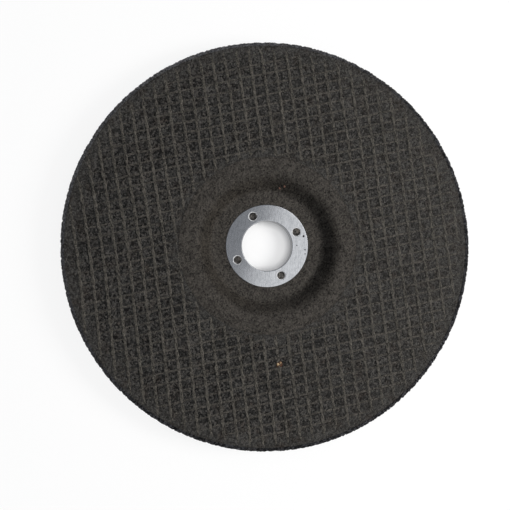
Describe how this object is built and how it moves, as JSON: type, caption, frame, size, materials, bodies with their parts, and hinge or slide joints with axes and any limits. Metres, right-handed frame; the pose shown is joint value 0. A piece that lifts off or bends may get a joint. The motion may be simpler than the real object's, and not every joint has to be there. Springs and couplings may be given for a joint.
{
  "type": "depressed-centre grinding disc",
  "caption": "Resin-bonded grinding disc with a depressed centre, a woven glass-fibre face, a gritty rim and a pressed steel bush in its bore.",
  "frame": {"origin": "on the bore's axis, at the back face of the hub, which the disc rests on", "axes": "+Z along the bore's axis, towards the front face where the flange nut sits"},
  "size_m": [0.18, 0.18, 0.0106],
  "materials": {
    "abrasive": "rough",
    "glass_cloth": "matte",
    "patch": "matte",
    "steel": "satin"
  },
  "bodies": {
    "root": {"abrasive_body": "abrasive", "glass_mesh": "glass_cloth", "centre_patch": "patch", "steel_bush": "steel"}
  },
  "joints": []
}
